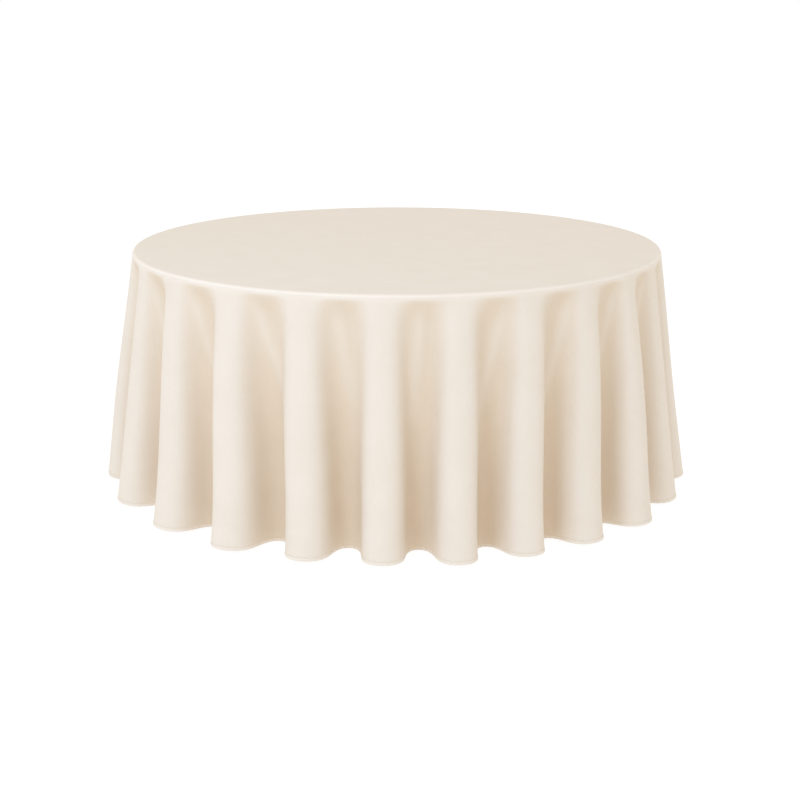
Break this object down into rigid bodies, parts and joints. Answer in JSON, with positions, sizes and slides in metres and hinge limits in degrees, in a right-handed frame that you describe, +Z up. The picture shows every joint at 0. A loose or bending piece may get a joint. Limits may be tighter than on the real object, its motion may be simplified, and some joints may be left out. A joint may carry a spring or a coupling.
{
  "type": "round table with a floor-length tablecloth",
  "caption": "Round folding table dressed with an ivory round tablecloth that falls to the floor in deep regular folds, with a narrow stitched hem.",
  "frame": {"origin": "on the floor, under the centre of the round table", "axes": "+Z up along the table's axis; leg set a stands on the +X side and leg set b on the -X side"},
  "size_m": [2.1846, 2.1846, 0.7633],
  "materials": {
    "cloth": "matt woven polyester with a soft sheen, ivory",
    "thread": "polyester sewing thread, ivory",
    "plywood": "clear lacquered birch plywood",
    "band": "moulded vinyl",
    "painted_fitting": "satin powder coat",
    "leg_paint": "hammered powder coat",
    "zinc": "zinc plated",
    "screw": "zinc plated",
    "rubber_foot": "matt rubber",
    "nylon": "natural nylon"
  },
  "bodies": {
    "table": {"tabletop": "plywood", "edge_band": "band", "hinge_bracket_1": "painted_fitting", "hinge_bracket_2": "painted_fitting", "hinge_bracket_3": "painted_fitting", "hinge_bracket_4": "painted_fitting", "bracket_screws": "screw", "brace_runner_a": "painted_fitting", "brace_runner_b": "painted_fitting", "runner_screws": "screw"},
    "leg_set_a": {"pivot_tube_a": "leg_paint", "leg_a_left": "leg_paint", "leg_a_right": "leg_paint", "stretcher_a": "leg_paint", "brace_collars_a": "screw", "foot_cap_a_left": "rubber_foot", "foot_cap_a_right": "rubber_foot"},
    "leg_set_b": {"pivot_tube_b": "leg_paint", "leg_b_left": "leg_paint", "leg_b_right": "leg_paint", "stretcher_b": "leg_paint", "brace_collars_b": "screw", "foot_cap_b_left": "rubber_foot", "foot_cap_b_right": "rubber_foot"},
    "brace_bar_a": {"brace_a": "zinc", "glide_pin_a": "zinc", "brace_glides_a": "nylon"},
    "brace_bar_b": {"brace_b": "zinc", "glide_pin_b": "zinc", "brace_glides_b": "nylon"},
    "tablecloth": {"cloth": "cloth", "hem": "cloth", "hem_thread": "thread"}
  },
  "joints": [
    {"name": "leg_fold_a", "type": "hinge", "parent": "table", "child": "leg_set_a", "pos_m": [0.56, 0, 0.722], "axis": [0, 1, 0], "range_deg": [0, 94.5]},
    {"name": "leg_fold_b", "type": "hinge", "parent": "table", "child": "leg_set_b", "pos_m": [-0.56, 0, 0.722], "axis": [0, -1, 0], "range_deg": [0, 94.5]},
    {"name": "brace_turn_a", "type": "hinge", "parent": "leg_set_a", "child": "brace_bar_a", "pos_m": [0.57569, 0, 0.52262], "axis": [0, -1, 0], "range_deg": [0, 131.08]},
    {"name": "brace_turn_b", "type": "hinge", "parent": "leg_set_b", "child": "brace_bar_b", "pos_m": [-0.57569, 0, 0.52262], "axis": [0, 1, 0], "range_deg": [0, 131.08]},
    {"name": "cloth_lift", "type": "slide", "parent": "table", "child": "tablecloth", "axis": [0, 0, 1], "range_m": [0, 0.8]}
  ],
  "couplings": [
    {"joint": "brace_turn_a", "follows": "leg_fold_a", "ratio": 1.3865},
    {"joint": "brace_turn_b", "follows": "leg_fold_b", "ratio": 1.3865}
  ]
}
